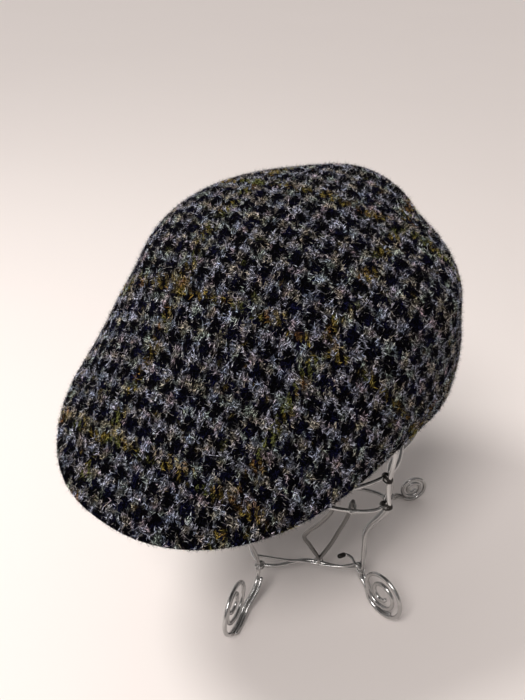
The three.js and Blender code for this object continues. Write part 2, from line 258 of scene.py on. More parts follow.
# A fibre is a thin cone on three sides, and these are the places of its points in its cell of the map
FIBRE_SIDES = 3
FIBRE_CELL = np.array([(0.2, 0.2), (0.8, 0.2), (0.5, 0.5), (0.5, 0.85)])

# Turns between which each patch of nap lies, apart from the one on the back panel
NAP_PATCHES = {
    "nap_front": (-33, 33),
    "nap_left": (33, SEAM_START),
    "nap_right": (-SEAM_START, -33),
    "nap_back_left": (SEAM_START, 180),
    "nap_back_right": (180, 360 - SEAM_START),
    "nap_nape": None,
}
NAP_COLUMNS, NAP_ROWS, NAP_TOP = 48, 40, 0.998
NAPE_COLUMNS, NAPE_ROWS = 61, 24
FOLD_STEPS, SEAM_FOLD = 3, 0.02

# Floor: half its width in metres, two tones, the scale of their cloud, and roughness
FLOOR = 30
FLOOR_TONES = ((0.88, 0.82, 0.79, 1), (0.86, 0.80, 0.77, 1))
FLOOR_CLOUD, FLOOR_ROUGH = 3, 0.6

# Lamps: kind, place, the point it faces, power and colour
LAMPS = {
    "key": ("SUN", (0.18, -0.88, 1.12), (0, 0, 0), 1.86, (1.0, 0.955, 0.93)),
    "fill": ("SUN", (-0.94, -0.11, 0.6), (0, 0, 0), 0.52, (1.0, 0.97, 0.96)),
    "side": ("AREA", (-0.42, -0.32, 1.0), (-0.4, -0.25, 0), 6.5, (1.0, 0.98, 0.95)),
}
KEY_ANGLE, FILL_ANGLE, SIDE_SIZE = math.radians(23), math.radians(100), 0.3
ROOM_TONE, ROOM_POWER = (1.0, 0.95, 0.93, 1), 0.21

# Camera: a focal length of 800 pixels in a frame 700 pixels high
FOCAL, FRAME_HEIGHT, SENSOR, NEAR = 800, 700, 36, 0.01
CAMERA_AT = (0.25557, -0.32912, 0.44392)
CAMERA_TILT, CAMERA_TURN = math.radians(58), math.radians(37.93)


# Cap surface
def unit(v):
    return v / np.maximum(np.linalg.norm(v, axis=-1, keepdims=True), 1e-9)


def cubic(a, b, c, d, f):
    """A smooth step from b to c at share f, with a and d beyond them."""
    return b + 0.5 * ((c - a) * f + (2 * a - 5 * b + 4 * c - d) * f**2 + (3 * b - a - 3 * c + d) * f**3)


def half_turn(turn):
    """The same turn between -180 and 180 degrees."""
    return (turn + 180) % 360 - 180


def row_shares(rows):
    return (np.arange(rows + 1) / rows)[:, None]


def level_at(k):
    """Sizes of the level section at height share k."""
    last = len(LEVELS) - 1
    over = LEVELS[last - 1].copy()
    over[1], over[2], over[3] = over[2], over[1], -over[3]
    rows = np.vstack([2 * LEVELS[0] - LEVELS[1], LEVELS, over])
    t = np.clip(k, 0, 1) * last
    i = np.minimum(t.astype(int), last - 1)
    return cubic(*(rows[i + n] for n in range(4)), (t - i)[..., None])


def outside(k, turn):
    """Points of the cap's outside at height share k and turn in degrees, 0 at the front, 90 at the left."""
    k, turn = np.broadcast_arrays(np.asarray(k, float), np.asarray(turn, float))
    z, front, back, half, widest, nose, tail = np.moveaxis(level_at(k), -1, 0)
    c, s = np.cos(np.radians(turn)), np.sin(np.radians(turn))
    power = 2 / np.where(c > 0, nose, tail)
    x = half * np.sign(s) * np.abs(s) ** power
    y = widest + np.where(c > 0, front - widest, back - widest) * np.abs(c) ** power
    side = np.minimum(1, (x / LEVELS[0, 3]) ** 2)
    lift = TEMPLE_LIFT * side * np.exp(-(((y - TEMPLE_Y) / TEMPLE_LENGTH) ** 2))
    drop = NAPE_DROP * np.exp(-(((y - NAPE_Y) / NAPE_LENGTH) ** 2))
    z = z + (lift - drop) * (1 - k)
    reach = np.maximum(np.hypot(x, y - widest), 1e-6)
    side_x, side_y = x / reach, (y - widest) / reach
    for at, way, rows, round_by, out, up in PUFFS:
        share = np.exp(-(((k - at) / rows) ** 2) - (half_turn(turn - way) / round_by) ** 2)
        x, y, z = x + side_x * out * share, y + side_y * out * share, z + up * share
    return np.stack([x, y, z], -1)


def directions(k, turn):
    """Outward and upward directions of the surface."""
    k, turn = np.broadcast_arrays(np.asarray(k, float), np.asarray(turn, float))
    up = outside(np.minimum(HIGHEST, k + STEP_UP), turn) - outside(np.maximum(0, k - STEP_UP), turn)
    around = outside(k, turn + STEP_ROUND) - outside(k, turn - STEP_ROUND)
    out = unit(np.cross(around, up))
    out[k > LEVEL_TOP] = (0, 0, 1)
    return out, unit(up)


def cap_turn():
    ct, st, cr, sr = math.cos(TILT), math.sin(TILT), math.cos(ROLL), math.sin(ROLL)
    tilt = np.array([[1, 0, 0], [0, ct, -st], [0, st, ct]])
    roll = np.array([[cr, 0, sr], [0, 1, 0], [-sr, 0, cr]])
    return tilt @ roll


CAP_TURN = cap_turn()


def on_stand(p):
    """The cap's points where they are on the stand."""
    return p @ CAP_TURN.T + CAP_AT + TO_ORIGIN


def seam_at(turn):
    """Height share of the seam, which is 0 where there is none."""
    away = np.abs(half_turn(np.asarray(turn, float)))
    share = np.maximum(0, (away - SEAM_START) / (180 - SEAM_START))
    return SEAM_TOP * np.sin(np.pi / 2 * np.sqrt(share))


# Flattening of the top panel, so that the check lies on it as on cloth
def dome_triangles(rows, columns):
    """Triangles of a dome's grid, whose rows close round and whose last row is one point."""
    pole = (rows - 1) * columns
    ids = np.arange(pole).reshape(rows - 1, columns)
    tri = []
    for a, b in zip(ids[:-1], ids[1:]):
        a2, b2 = np.roll(a, -1), np.roll(b, -1)
        tri += [np.stack([a, a2, b2], 1), np.stack([a, b2, b], 1)]
    tri.append(np.stack([ids[-1], np.roll(ids[-1], -1), np.full(columns, pole)], 1))
    return np.vstack(tri)


def own_shapes(points, tri):
    """Each triangle laid flat on its own."""
    e1, e2 = points[tri[:, 1]] - points[tri[:, 0]], points[tri[:, 2]] - points[tri[:, 0]]
    own = np.zeros((len(tri), 3, 2))
    own[:, 1, 0] = np.linalg.norm(e1, axis=1)
    own[:, 2, 0] = (e1 * e2).sum(1) / own[:, 1, 0]
    own[:, 2, 1] = np.sqrt(np.maximum((e2**2).sum(1) - own[:, 2, 0] ** 2, 1e-9))
    return own


def edge_weights(own):
    """How much each edge of a triangle counts, by the angle across from it."""
    weight = np.zeros((len(own), 3))
    for i in range(3):
        j, far = (i + 1) % 3, (i + 2) % 3
        u, v = own[:, i] - own[:, far], own[:, j] - own[:, far]
        area = np.abs(u[:, 0] * v[:, 1] - u[:, 1] * v[:, 0])
        weight[:, i] = np.maximum((u * v).sum(1) / area, LEAST_WEIGHT)
    return weight


def pulls(tri, weight, count):
    """How the points of the triangles pull on each other, with the last point held."""
    pull = np.zeros((count, count))
    for i in range(3):
        j = (i + 1) % 3
        for p, q, sign in ((i, i, 1), (j, j, 1), (i, j, -1), (j, i, -1)):
            np.add.at(pull, (tri[:, p], tri[:, q]), sign * weight[:, i])
    pull[-1] = 0
    pull[-1, -1] = 1
    return pull


def flatten(grid):
    """Flat places of a dome's grid, edge row first and pole row last, with lengths and angles kept."""
    rows, columns, _ = grid.shape
    pole = grid[-1].mean(0)
    points = np.vstack([grid[:-1].reshape(-1, 3), pole])
    tri = dome_triangles(rows, columns)
    own = own_shapes(points, tri)
    weight = edge_weights(own)
    solve = np.linalg.inv(pulls(tri, weight, len(points)))
    lines = np.concatenate([grid[:-1], np.broadcast_to(pole, (1, columns, 3))])
    reach = np.cumsum(np.linalg.norm(np.diff(lines, axis=0), axis=2)[::-1], 0)[::-1]
    a = np.linspace(0, 2 * np.pi, columns, endpoint=False)
    flat = np.stack([reach * np.sin(a), -reach * np.cos(a)], -1).reshape(-1, 2)
    flat = np.vstack([flat, [[0, 0]]])
    for _ in range(FLAT_ROUNDS):
        turned = np.zeros((len(tri), 2, 2))
        for i in range(3):
            j = (i + 1) % 3
            d, o = flat[tri[:, i]] - flat[tri[:, j]], own[:, i] - own[:, j]
            turned += weight[:, i, None, None] * d[:, :, None] * o[:, None, :]
        angle = np.arctan2(turned[:, 1, 0] - turned[:, 0, 1], turned[:, 0, 0] + turned[:, 1, 1])
        c, s = np.cos(angle), np.sin(angle)
        wanted = np.zeros((len(points), 2))
        for i in range(3):
            j = (i + 1) % 3
            o = own[:, i] - own[:, j]
            w = weight[:, i, None] * np.stack([c * o[:, 0] - s * o[:, 1], s * o[:, 0] + c * o[:, 1]], 1)
            np.add.at(wanted, tri[:, i], w)
            np.add.at(wanted, tri[:, j], -w)
        wanted[-1] = 0
        flat = solve @ wanted
    around = flat[:-1].reshape(rows - 1, columns, 2)
    return np.concatenate([around, np.broadcast_to(flat[-1], (1, columns, 2))])


class FlatTop:
    """The top panel laid flat, read at any row share and turn."""

    ROWS, COLUMNS = 20, 72

    def __init__(self):
        turns = np.arange(self.COLUMNS) * 360 / self.COLUMNS
        start = seam_at(turns)
        k = start + (1 - start) * row_shares(self.ROWS)
        flat = flatten(outside(k, turns[None]))
        self.rows = np.concatenate([2 * flat[:1] - flat[1:2], flat, 2 * flat[-1:] - flat[-2:-1]])

    def at(self, share, turn):
        share, turn = np.broadcast_arrays(np.asarray(share, float), np.asarray(turn, float))
        r = np.clip(share, 0, 1) * self.ROWS
        i = np.minimum(r.astype(int), self.ROWS - 1)
        c = (turn % 360) / 360 * self.COLUMNS
        j = np.floor(c).astype(int)
        fr, fc = (r - i)[..., None], (c - j)[..., None]
        across = []
        for m in range(4):
            four = [self.rows[i + m, (j + n - 1) % self.COLUMNS] for n in range(4)]
            across.append(cubic(*four, fc))
        u, v = np.moveaxis(cubic(*across, fr), -1, 0)
        co, si = math.cos(CHECK_TURN), math.sin(CHECK_TURN)
        return np.stack([u * co + v * si, v * co - u * si], -1)


# Meshes
def grid_faces(rows, columns, closed):
    """Four-sided faces of a grid of points, whose rows close round or don't."""
    last = columns if closed else columns - 1
    i, j = np.meshgrid(np.arange(rows - 1), np.arange(last), indexing="ij")
    n = (j + 1) % columns
    low, high = i * columns, (i + 1) * columns
    return np.stack([low + j, low + n, high + n, high + j], -1).reshape(-1, 4)


def corner_points(mesh):
    corners = np.empty(len(mesh.loops), np.int32)
    mesh.loops.foreach_get("vertex_index", corners)
    return corners


def piece_from(name, points, faces, material, cloth=None):
    """A mesh object from points in millimetres, with the cloth's flat places as its map."""
    mesh = bpy.data.meshes.new(name)
    mesh.from_pydata((np.asarray(points) * MM).tolist(), [], [tuple(int(x) for x in f) for f in faces])
    if cloth is not None:
        places = np.asarray(cloth)[corner_points(mesh)] * MM
        mesh.uv_layers.new(name="cloth").uv.foreach_set("vector", places.astype(np.float32).ravel())
    mesh.polygons.foreach_set("use_smooth", [True] * len(mesh.polygons))
    mesh.materials.append(material)
    mesh.update()
    piece = bpy.data.objects.new(name, mesh)
    bpy.context.scene.collection.objects.link(piece)
    return piece


def weld(piece):
    """Joins equal points and drops faces with no width."""
    work = bmesh.new()
    work.from_mesh(piece.data)
    bmesh.ops.remove_doubles(work, verts=work.verts, dist=WELD)
    bmesh.ops.dissolve_degenerate(work, edges=work.edges, dist=WELD)
    work.to_mesh(piece.data)
    work.free()
    piece.data.update()


# Shader helpers
class Nodes:
    """Short ways to make nodes in one tree."""

    def __init__(self, tree):
        self.tree = tree

    def new(self, kind, **settings):
        node = self.tree.nodes.new(kind)
        for key, value in settings.items():
            setattr(node, key, value)
        return node

    def give(self, socket, value):
        if isinstance(value, bpy.types.NodeSocket):
            self.tree.links.new(value, socket)
        elif value is not None:
            socket.default_value = value

    def math(self, operation, a, b=None, c=None):
        node = self.new("ShaderNodeMath", operation=operation)
        for socket, value in zip(node.inputs, (a, b, c)):
            self.give(socket, value)
        return node.outputs[0]

    def mix(self, share, a, b, blend="MIX"):
        node = self.new("ShaderNodeMix", data_type="RGBA", blend_type=blend)
        self.give(node.inputs[0], share)
        self.give(node.inputs[6], a)
        self.give(node.inputs[7], b)
        return node.outputs[2]

    def pick(self, share, a, b):
        node = self.new("ShaderNodeMix", data_type="FLOAT")
        self.give(node.inputs[0], share)
        self.give(node.inputs[2], a)
        self.give(node.inputs[3], b)
        return node.outputs[0]

    def noise(self, vector, scale, detail=2.0, rough=0.5, output=0):
        node = self.new("ShaderNodeTexNoise")
        self.give(node.inputs["Vector"], vector)
        self.give(node.inputs["Scale"], scale)
        self.give(node.inputs["Detail"], detail)
        self.give(node.inputs["Roughness"], rough)
        return node.outputs[output]

    def moved(self, vector, offset=(0, 0, 0), turn=0.0, scale=(1, 1, 1)):
        node = self.new("ShaderNodeMapping")
        self.give(node.inputs["Vector"], vector)
        node.inputs["Location"].default_value = offset
        node.inputs["Rotation"].default_value = (0, 0, turn)
        node.inputs["Scale"].default_value = scale
        return node.outputs[0]

    def ramp(self, value, low, high):
        node = self.new("ShaderNodeMapRange")
        node.clamp = True
        self.give(node.inputs["Value"], value)
        node.inputs["From Min"].default_value = low
        node.inputs["From Max"].default_value = high
        return node.outputs[0]

    def scaled(self, value, by, plus):
        return self.math("ADD", self.math("MULTIPLY", value, by), plus)

    def bump(self, shader, height, strength, distance):
        node = self.new("ShaderNodeBump")
        self.give(node.inputs["Strength"], strength)
        self.give(node.inputs["Distance"], distance)
        self.give(node.inputs["Height"], height)
        self.give(shader.inputs["Normal"], node.outputs[0])


def material_base(name):
    material = bpy.data.materials.new(name)
    material.use_nodes = True
    tree = material.node_tree
    tree.nodes.clear()
    n = Nodes(tree)
    shader = n.new("ShaderNodeBsdfPrincipled")
    output = n.new("ShaderNodeOutputMaterial")
    tree.links.new(shader.outputs[0], output.inputs[0])
    return material, n, shader


# Tweed
def houndstooth():
    """A node group from cloth places to the yarn's colour, height and light, and whether it is warp."""
    tree = bpy.data.node_groups.new("houndstooth_twill", "ShaderNodeTree")
    tree.interface.new_socket("Cloth", in_out="INPUT", socket_type="NodeSocketVector")
    for name, kind in (("Colour", "Color"), ("Height", "Float"), ("Float", "Float"), ("Warp", "Float")):
        tree.interface.new_socket(name, in_out="OUTPUT", socket_type="NodeSocket" + kind)
    n = Nodes(tree)
    start, end = n.new("NodeGroupInput"), n.new("NodeGroupOutput")
    place = start.outputs[0]

    def wandering(value, side):
        for scale, reach, offset in WANDER:
            moved = n.moved(place, (side, offset, WANDER_DEPTH))
            shift = n.math("SUBTRACT", n.noise(moved, scale, rough=WANDER_ROUGH), 0.5)
            value = n.math("ADD", value, n.math("MULTIPLY", shift, reach))
        return value

    flat = n.new("ShaderNodeSeparateXYZ")
    n.give(flat.inputs[0], place)
    s = wandering(n.math("DIVIDE", flat.outputs[0], WARP_YARN * MM), WARP_WANDER)
    t = wandering(n.math("DIVIDE", flat.outputs[1], WEFT_YARN * MM), WEFT_WANDER)
    i, j = n.math("FLOOR", s), n.math("FLOOR", t)
    fs, ft = n.math("FRACT", s), n.math("FRACT", t)
    step = n.math("FLOORED_MODULO", n.math("ADD", i, j), float(TWILL_YARNS))
    warp = n.math("LESS_THAN", step, TWILL_YARNS / 2 - 0.5)

    # Four yarns in eight are pale, and dark wool creeps over the outer ones
    def pale(at):
        off = n.math("SUBTRACT", n.math("FLOORED_MODULO", at, float(CHECK_YARNS)), PALE_MIDDLE)
        return n.math("LESS_THAN", n.math("ABSOLUTE", off), PALE_HALF)

    light = n.pick(warp, pale(t), pale(s))

    # Yarns are round, and a float sinks at both ends
    across = n.math("SUBTRACT", n.math("MULTIPLY", n.pick(warp, ft, fs), 2.0), 1.0)
    along = n.math("ADD", n.math("FLOORED_MODULO", step, 2.0), n.pick(warp, fs, ft))
    along = n.math("POWER", n.math("SUBTRACT", along, 1.0), FLOAT_ENDS)
    round_off = n.math("SUBTRACT", 1.0, n.math("MULTIPLY", across, across))
    height = n.math("MULTIPLY", round_off, n.math("SUBTRACT", 1.0, n.math("MULTIPLY", along, FLOAT_SINK)))

    # Each float catches the light in its own way
    spot = n.new("ShaderNodeCombineXYZ")
    n.give(spot.inputs[0], n.pick(warp, j, i))
    n.give(spot.inputs[1], n.math("FLOOR", n.math("DIVIDE", n.math("ADD", i, j), float(TWILL_YARNS))))
    n.give(spot.inputs[2], warp)
    lot = n.new("ShaderNodeTexWhiteNoise", noise_dimensions="3D")
    n.give(lot.inputs["Vector"], spot.outputs[0])

    def channels(name):
        offset, scale = CLOUDS[name]
        node = n.new("ShaderNodeSeparateColor")
        n.give(node.inputs[0], n.noise(n.moved(place, offset), scale, output=1))
        return node.outputs

    def cloud(name):
        offset, scale = CLOUDS[name]
        return n.ramp(n.noise(n.moved(place, offset), scale, 1.0), *SHOWS[name])

    # Colours change a little along each yarn
    tint, other = channels("tint"), channels("other")
    grey = LIGHT
    for share, dye in ((tint[0], PINKISH), (tint[1], GREENISH), (other[0], BLUISH), (other[1], SANDY)):
        grey = n.mix(n.math("MULTIPLY", n.ramp(share, *SHOWS["tint"]), TINT_MOST), grey, dye)
    black = n.mix(n.ramp(tint[2], *SHOWS["navy"]), DARK, NAVY)
    grey = n.mix(cloud("cast"), n.mix(CAST_DEPTH, grey, DARK), grey)
    body = n.mix(light, black, grey)

    # Coloured yarns run with the dark ones and show in patches
    def line(index, every, at):
        away = n.math("FLOORED_MODULO", n.math("SUBTRACT", index, float(at)), float(every))
        return n.math("LESS_THAN", away, OVER_YARNS - 0.5)

    over = n.pick(warp, line(j, OVER_WEFTS, OVER_WEFT_AT), line(i, OVER_WARPS, OVER_WARP_AT))
    hue = channels("hue")
    coloured = n.mix(n.ramp(hue[0], *SHOWS["rust"]), MUSTARD, RUST)
    coloured = n.mix(n.ramp(hue[1], *SHOWS["olive"]), coloured, OLIVE)
    fleck = n.math("MULTIPLY", cloud("fleck"), FLECK_MOST)
    over = n.math("MAXIMUM", n.math("MULTIPLY", over, cloud("patch")), fleck)
    body = n.mix(n.math("MULTIPLY", over, OVER_MOST), body, coloured)
    for socket, value in zip(end.inputs, (body, height, lot.outputs["Value"], warp)):
        n.give(socket, value)
    return tree


def cloth_group(n, pattern):
    """The woven pattern in a material, and the cloth places that it reads."""
    place = n.new("ShaderNodeAttribute", attribute_name="cloth").outputs["Vector"]
    cloth = n.new("ShaderNodeGroup", node_tree=pattern)
    n.give(cloth.inputs["Cloth"], place)
    return place, cloth.outputs


def tweed_material(pattern):
    material, n, shader = material_base("tweed_cloth")
    place, cloth = cloth_group(n, pattern)
    # Wool fibres lie slanting in each yarn, light ones over dark ones
    warp_lay = n.moved(place, turn=WARP_SLANT, scale=(1, FIBRE_STRETCH, 1))
    weft_lay = n.moved(place, WEFT_OFFSET, WEFT_SLANT, (FIBRE_STRETCH, 1, 1))
    warp_fibre = n.noise(warp_lay, FIBRE_SCALE, rough=FIBRE_ROUGH)
    weft_fibre = n.noise(weft_lay, FIBRE_SCALE, rough=FIBRE_ROUGH)
    fibre = n.pick(cloth["Warp"], weft_fibre, warp_fibre)
    streak = n.scaled(n.ramp(fibre, *FIBRE_SHOWS), STREAK, STREAK_LEAST)
    # Painted shade: the colour is darkened in the gaps between the yarns and where a float sinks at its
    # ends, and each float is painted lighter or darker as painted light
    gap_shade = n.scaled(cloth["Height"], GAP_SHADE, GAP_SHADE_LEAST)
    own = n.math("ADD", cloth["Float"], FLOAT_LEAST)
    depth = n.math("MULTIPLY", n.math("MULTIPLY", streak, gap_shade), n.math("MULTIPLY", own, BASE_LIGHT))
    n.give(shader.inputs["Base Color"], n.mix(1.0, cloth["Colour"], depth, "MULTIPLY"))
    shader.inputs["Roughness"].default_value = CLOTH_ROUGH
    shader.inputs["Specular IOR Level"].default_value = CLOTH_SHINE
    relief = n.math("ADD", cloth["Height"], n.math("MULTIPLY", fibre, FIBRE_RELIEF))
    n.bump(shader, relief, CLOTH_BUMP, CLOTH_BUMP_DEPTH)
    return material


def nap_material(pattern):
    material, n, shader = material_base("wool_nap")
    _, cloth = cloth_group(n, pattern)
    shade = n.new("ShaderNodeAttribute", attribute_name="shade").outputs["Fac"]
    bright = n.scaled(n.math("POWER", shade, NAP_POWER), NAP_RANGE, NAP_LEAST)
    draw = n.math("FRACT", n.math("MULTIPLY", shade, STRAY_DRAWS))
    dyed = n.mix(n.math("GREATER_THAN", draw, 1 - STRAY_SHARE), cloth["Colour"], STRAY_WOOL)
    n.give(shader.inputs["Base Color"], n.mix(1.0, dyed, bright, "MULTIPLY"))
    shader.inputs["Roughness"].default_value = NAP_ROUGH
    shader.inputs["Specular IOR Level"].default_value = NAP_SHINE
    return material


# Wire
def wire_material(name):
    pale, deep, smooth = WIRE_TONES[name]
    material, n, shader = material_base(name)
    place = n.new("ShaderNodeTexCoord").outputs["Object"]
    cloud = n.noise(place, WIRE_CLOUD, WIRE_CLOUD_DETAIL, WIRE_CLOUD_ROUGH)
    grain = n.noise(place, WIRE_GRAIN)
    n.give(shader.inputs["Base Color"], n.mix(cloud, pale, deep))
    n.give(shader.inputs["Roughness"], n.scaled(grain, GRAIN_ROUGH, smooth))
    shader.inputs["Metallic"].default_value = 1.0
    n.bump(shader, grain, GRAIN_BUMP, GRAIN_DEPTH)
    return material


pattern = houndstooth()
tweed, nap_wool = tweed_material(pattern), nap_material(pattern)
# The same metal in three tones: the plain wire, and two copies darkened as painted shade
bright_wire, shaded_wire, deep_shade_wire = (wire_material(name) for name in WIRE_TONES)
flat_top = FlatTop()


# Cap cloth
def edge_round(outer, inner, down, turns_down):
    """Rows that carry the cloth round its edge from the outside to the inside."""
    middle, arm = (outer + inner) / 2, (outer - inner) / 2
    rows = []
    for step in range(1, EDGE_STEPS):
        a = math.pi * step / EDGE_STEPS
        rows.append(middle + arm * math.cos(a) + down * (turns_down * math.sin(a))[:, None])
    return rows


def seam_turns(columns):
    """Turns over the back panel, close together where the seam is steep."""
    share = 0.5 - 0.5 * np.cos(np.pi * np.linspace(0, 1, columns))
    return SEAM_START + (360 - 2 * SEAM_START) * share


def groove(points):
    """How far the cloth sinks beside the seam."""
    turns = seam_turns(GROOVE_POINTS)
    line = outside(seam_at(turns), turns)
    away = np.stack([np.linalg.norm(row[:, None] - line[None], axis=2).min(1) for row in points])
    return GROOVE * np.exp(-((away / GROOVE_REACH) ** 2))


def walls(k, turn, hem_share):
    """The outside and the inside of a panel, with its seam's groove and its turned hem, and the way up."""
    out, up = directions(k, turn)
    face = outside(k, turn)
    sink = groove(face)[..., None]
    hem = HEM * hem_share * np.clip(HEM_FULL - k * RIM_TO_TOP / HEM_REACH * HEM_FULL, 0, 1)
    return face - out * sink, face - out * np.maximum(CLOTH + hem[..., None], sink + THINNEST), up


def cap_top():
    """The front, the top and the fore part of both sides, closed over the crown."""
    front_turns = np.linspace(-SEAM_START, SEAM_START, FRONT_COLUMNS)
    turns = np.concatenate([front_turns, seam_turns(BACK_COLUMNS)[1:-1]])
    seam = seam_at(turns)
    start = np.where(seam > 0, seam + SEAM_GAP, 0)
    share = np.broadcast_to(row_shares(TOP_ROWS), (TOP_ROWS + 1, len(turns)))
    k = start + (1 - start) * share
    turn = np.broadcast_to(turns, k.shape)
    outer, inner, up = walls(k, turn, np.clip((np.abs(half_turn(turn)) - HEM_START) / HEM_FADE, 0, 1))
    flat = flat_top.at(share, turn)
    fold = edge_round(outer[0], inner[0], -up[0], np.where(seam > 0, 0.0, CLOTH / 2))
    rows = [*outer[::-1], *fold, *inner]
    maps = [*flat[::-1], *[flat[0]] * len(fold), *flat]
    faces = grid_faces(len(rows), len(turns), True)[:, ::-1]
    piece = piece_from("cap_top", on_stand(np.concatenate(rows)), faces, tweed, np.concatenate(maps))
    weld(piece)
    return piece


def back_turns(columns):
    turns = seam_turns(columns)
    turns[[0, -1]] += (BACK_START, -BACK_START)
    return turns


def back_heights(turns, rows):
    return (seam_at(turns) - SEAM_GAP) * row_shares(rows)


def back_flat(k, turns):
    """Flat places of the back panel: along its middle, and up its face."""
    face = outside(k, turns[None])
    middle = outside(np.full(len(turns), BACK_MIDDLE), turns)
    along = np.concatenate([[0], np.cumsum(np.linalg.norm(np.diff(middle, axis=0), axis=1))])
    rise = np.cumsum(np.linalg.norm(np.diff(face, axis=0), axis=2), 0)
    rise = np.concatenate([np.zeros((1, len(turns))), rise])
    return np.stack([np.broadcast_to(along - along[-1] / 2, k.shape), rise], -1)


def end_faces(rows, columns, flip):
    """Two faces that close a grid's first and last column, the second turned the other way."""
    ends = []
    for column, turned in ((0, flip), (columns - 1, not flip)):
        ring = [r * columns + column for r in range(rows)]
        ends.append(tuple(ring[::-1] if turned else ring))
    return ends


def cap_back():
    """The back from behind the temples round the nape, under the end of the top."""
    turns = back_turns(BACK_COLUMNS)
    k = back_heights(turns, BACK_ROWS)
    turn = np.broadcast_to(turns, k.shape)
    ends = np.clip(np.minimum(turns - turns[0], turns[-1] - turns) / BACK_HEM_FADE, 0, 1)
    outer, inner, up = walls(k, turn, ends)
    flat = back_flat(k, turns)
    fold = edge_round(outer[0], inner[0], -up[0], np.full(len(turns), CLOTH / 2))
    rows = [*outer[::-1], *fold, *inner, outer[-1]]
    maps = [*flat[::-1], *[flat[0]] * len(fold), *flat, flat[-1]]
    faces = [tuple(f) for f in grid_faces(len(rows), len(turns), False)[:, ::-1]]
    faces += end_faces(len(rows) - 1, len(turns), False)
    piece = piece_from("cap_back", on_stand(np.concatenate(rows)), faces, tweed, np.concatenate(maps))
    weld(piece)
    return piece


def cap_peak():
    """The stiff peak from its front edge to the edge of the head opening."""
    turns = np.linspace(-PEAK_SPAN, PEAK_SPAN, PEAK_COLUMNS)
    level = np.full(PEAK_COLUMNS, PEAK_LEVEL)
    out, _ = directions(level, turns)
    edge = outside(level, turns) - out * PEAK_INSET
    c, s = np.cos(np.radians(turns)), np.sin(np.radians(turns))
    x = PEAK_HALF * np.sign(s) * np.abs(s) ** (2 / PEAK_NOSE)
    y = PEAK_WIDEST + (PEAK_FRONT - PEAK_WIDEST) * np.abs(c) ** (2 / PEAK_NOSE)
    back = np.stack([x, y, edge[:, 2] + PEAK_RISE * (1 - (turns / PEAK_SPAN) ** 2)], -1)
    upper = edge + (back - edge) * np.linspace(0, 1, PEAK_ROWS)[:, None, None]
    lower = upper - np.array([0, 0, PEAK_THICK])
    half = np.full(PEAK_COLUMNS, PEAK_THICK / 2)
    front = edge_round(upper[0], lower[0], unit(edge - back), half * PEAK_BLUNT)
    rear = edge_round(lower[-1], upper[-1], unit(back - edge), half)
    rows = [*upper[::-1], *front, *lower, *rear]
    points = np.concatenate(rows)
    faces = [tuple(f) for f in grid_faces(len(rows), PEAK_COLUMNS, False)]
    last = (len(rows) - 1) * PEAK_COLUMNS
    faces += [(last + j, last + j + 1, j + 1, j) for j in range(PEAK_COLUMNS - 1)]
    faces += end_faces(len(rows), PEAK_COLUMNS, True)
    piece = piece_from("cap_peak", on_stand(points), [f[::-1] for f in faces], tweed, points[:, :2])
    weld(piece)
    return piece


top, back, peak = cap_top(), cap_back(), cap_peak()
for piece, node in ((top, "top_panel"), (back, "back_panel"), (peak, "peak")):
    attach(piece, "root")
    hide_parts(node)


